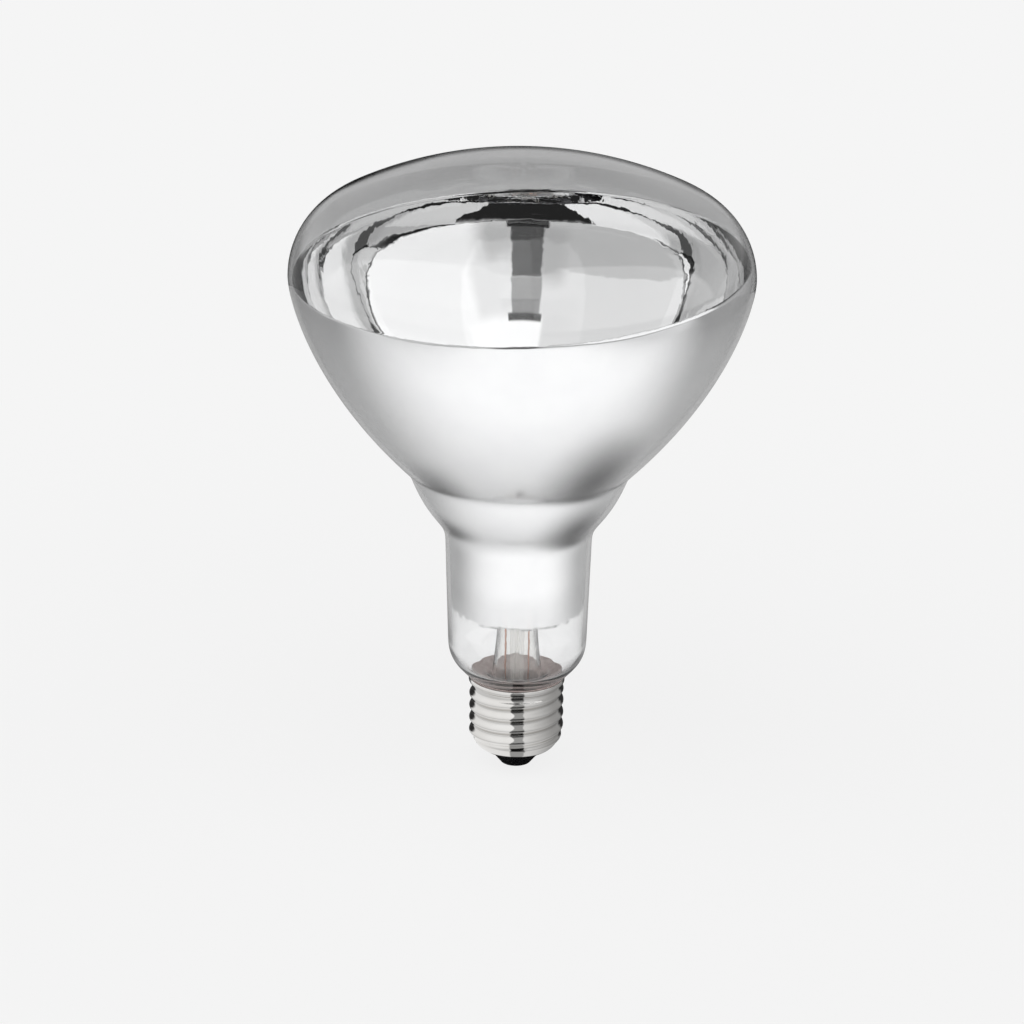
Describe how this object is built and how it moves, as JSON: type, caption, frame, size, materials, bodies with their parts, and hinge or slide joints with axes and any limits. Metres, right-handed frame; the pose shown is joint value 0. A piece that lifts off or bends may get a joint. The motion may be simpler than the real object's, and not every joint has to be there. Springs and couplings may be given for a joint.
{
  "type": "hard glass bulb",
  "caption": "Hard glass reflector bulb for radiant heat: clear domed face, mirror-coated bowl, stepped neck, screw cap with a centre contact.",
  "frame": {"origin": "middle of the centre contact's flat tip, at the lowest point of the screw cap", "axes": "+Z along the bulb's axis, from the contact out through the clear face; +Y away from the picture's viewer, +X to its right"},
  "size_m": [0.125, 0.125, 0.174],
  "materials": {
    "bulb_glass": "clear, polished blown hard glass",
    "mirror_coating": "vapour-deposited aluminium, mirror bright inside, satin seen through the glass",
    "stem_glass": "clear pressed glass",
    "tungsten_wire": "dark grey drawn wire",
    "molybdenum_wire": "grey drawn wire",
    "nickel_wire": "bright drawn wire",
    "copper_wire": "dull copper wire",
    "cap_plating": "nickel-plated rolled sheet, slightly warm",
    "cap_insulator_glass": "glossy black moulded glass",
    "contact_brass": "pressed plate with a tinned tip",
    "basing_cement": "matt pinkish brown basing cement",
    "solder": "dull solder"
  },
  "bodies": {
    "root": {"basing_cement": "basing_cement", "bulb_envelope": "bulb_glass", "cap_insulator": "cap_insulator_glass", "cap_shell": "cap_plating", "centre_contact": "contact_brass", "exhaust_tube": "stem_glass", "filament": "tungsten_wire", "filament_support_1": "molybdenum_wire", "filament_support_2": "molybdenum_wire", "filament_support_3": "molybdenum_wire", "filament_support_4": "molybdenum_wire", "filament_support_5": "molybdenum_wire", "lead_inner_left": "nickel_wire", "lead_inner_right": "nickel_wire", "lead_outer_centre": "copper_wire", "lead_outer_side": "copper_wire", "reflector_coating": "mirror_coating", "side_solder": "solder", "stem_glass": "stem_glass"}
  },
  "joints": []
}
